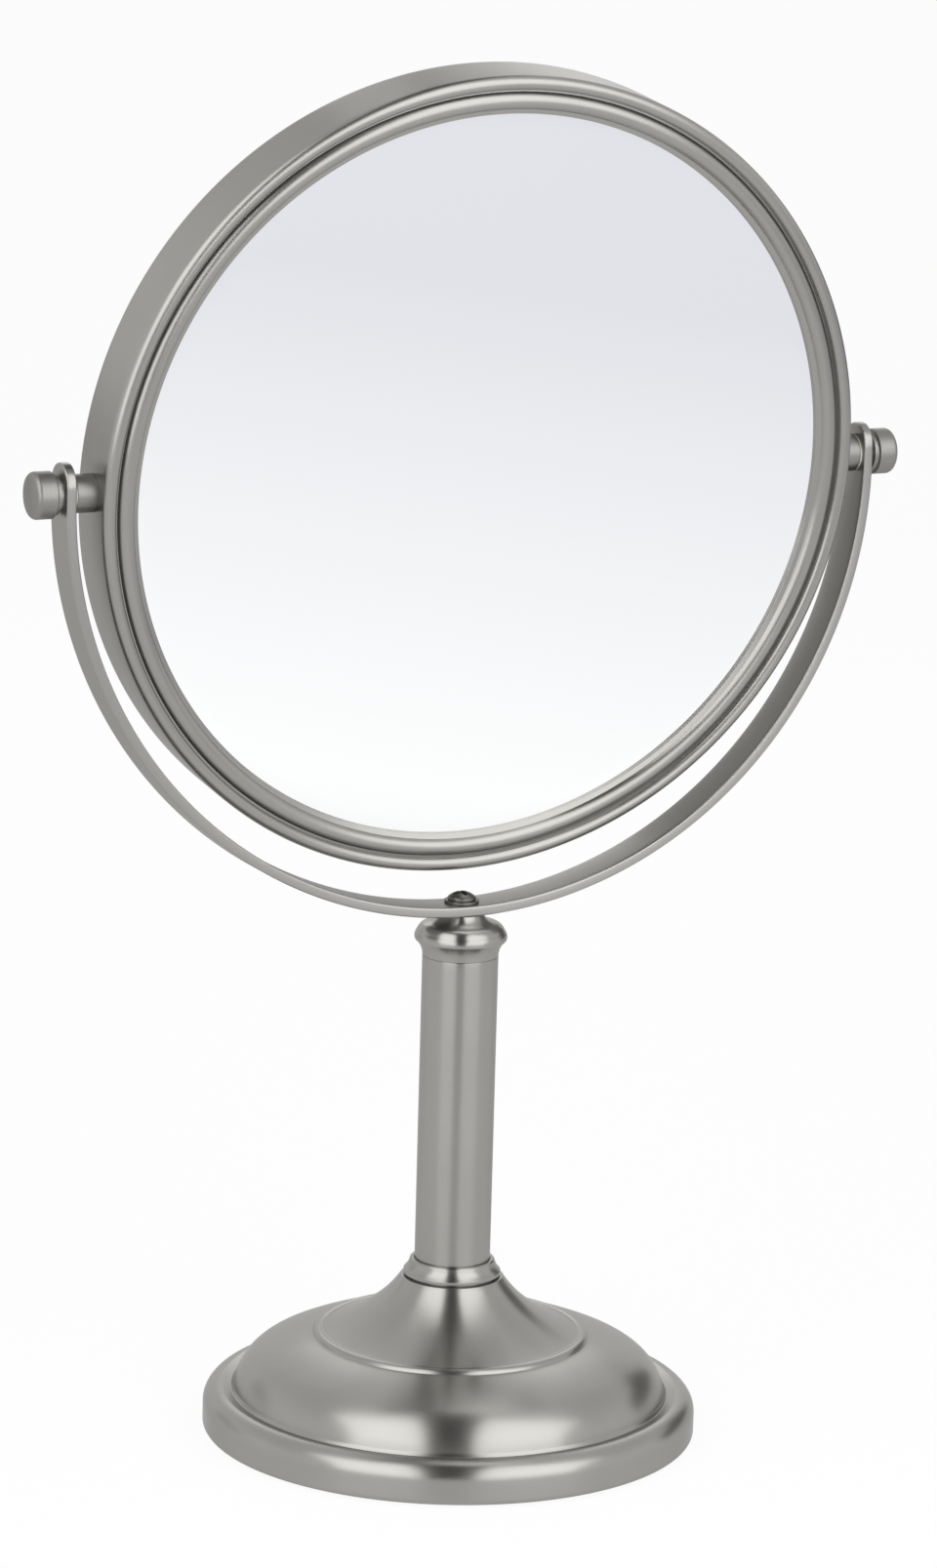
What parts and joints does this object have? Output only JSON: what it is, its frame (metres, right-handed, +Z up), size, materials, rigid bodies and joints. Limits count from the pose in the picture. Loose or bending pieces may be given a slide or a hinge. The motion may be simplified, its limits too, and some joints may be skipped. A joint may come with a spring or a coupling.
{
  "type": "pedestal mirror",
  "caption": "Two-sided round table mirror in a satin metal hoop, pivoting in a U-shaped yoke on a slim column with a stepped round base.",
  "frame": {"origin": "middle of the base's underside, on the surface that it stands on", "axes": "+Z up the column; the plain glass faces -Y, leaning a few degrees down; the pivot axis runs along X"},
  "size_m": [0.2602, 0.1384, 0.3852],
  "materials": {
    "satin_nickel": "satin brushed nickel plate",
    "mirror_glass": "silvered polished glass",
    "cast_iron": "as cast",
    "felt": "black felt",
    "black_plate": "black lacquer",
    "card": "plain board",
    "foam": "soft foam",
    "plastic": "matt white",
    "nylon": "natural nylon",
    "zinc_steel": "zinc plate"
  },
  "bodies": {
    "stand": {"base_pad": "felt", "base_plate": "black_plate", "base_shell": "satin_nickel", "base_weight": "cast_iron", "column_cap": "satin_nickel", "column_tube": "satin_nickel", "foot_collar": "satin_nickel", "tie_lock_washer": "zinc_steel", "tie_nut": "zinc_steel", "tie_rod": "zinc_steel", "tie_washer": "zinc_steel", "yoke": "satin_nickel", "yoke_screw": "satin_nickel", "yoke_screw_washer": "satin_nickel"},
    "mirror_head": {"backing_card": "card", "flat_mirror": "mirror_glass", "foam_ring": "foam", "front_bezel": "satin_nickel", "glass_spacer_ring": "plastic", "head_hoop": "satin_nickel", "left_friction_washer": "nylon", "left_pivot_spacer": "satin_nickel", "left_pivot_stud": "zinc_steel", "left_stud_nut": "zinc_steel", "left_stud_washer": "zinc_steel", "magnifying_mirror": "mirror_glass", "rear_bezel": "satin_nickel", "right_friction_washer": "nylon", "right_pivot_spacer": "satin_nickel", "right_pivot_stud": "zinc_steel", "right_stud_nut": "zinc_steel", "right_stud_washer": "zinc_steel"},
    "left_clamp_washer": {"left_spring_washer": "zinc_steel"},
    "left_knob": {"left_pivot_knob": "satin_nickel"},
    "right_clamp_washer": {"right_spring_washer": "zinc_steel"},
    "right_knob": {"right_pivot_knob": "satin_nickel"}
  },
  "joints": [
    {"name": "head_tilt", "type": "hinge", "parent": "stand", "child": "mirror_head", "pos_m": [0, 0, 0.273], "axis": [1, 0, 0], "continuous": true},
    {"name": "left_knob_travel", "type": "slide", "parent": "mirror_head", "child": "left_clamp_washer", "axis": [-1, 0, 0], "range_m": [0, 0.0007]},
    {"name": "left_knob_turn", "type": "hinge", "parent": "left_clamp_washer", "child": "left_knob", "pos_m": [0, 0, 0.273], "axis": [-1, 0, 0], "range_deg": [0, 360]},
    {"name": "right_knob_travel", "type": "slide", "parent": "mirror_head", "child": "right_clamp_washer", "axis": [1, 0, 0], "range_m": [0, 0.0007]},
    {"name": "right_knob_turn", "type": "hinge", "parent": "right_clamp_washer", "child": "right_knob", "pos_m": [0, 0, 0.273], "axis": [1, 0, 0], "range_deg": [0, 360]}
  ],
  "couplings": [
    {"joint": "left_knob_travel", "follows": "left_knob_turn", "m_per_rad": 0.00011141},
    {"joint": "right_knob_travel", "follows": "right_knob_turn", "m_per_rad": 0.00011141}
  ]
}
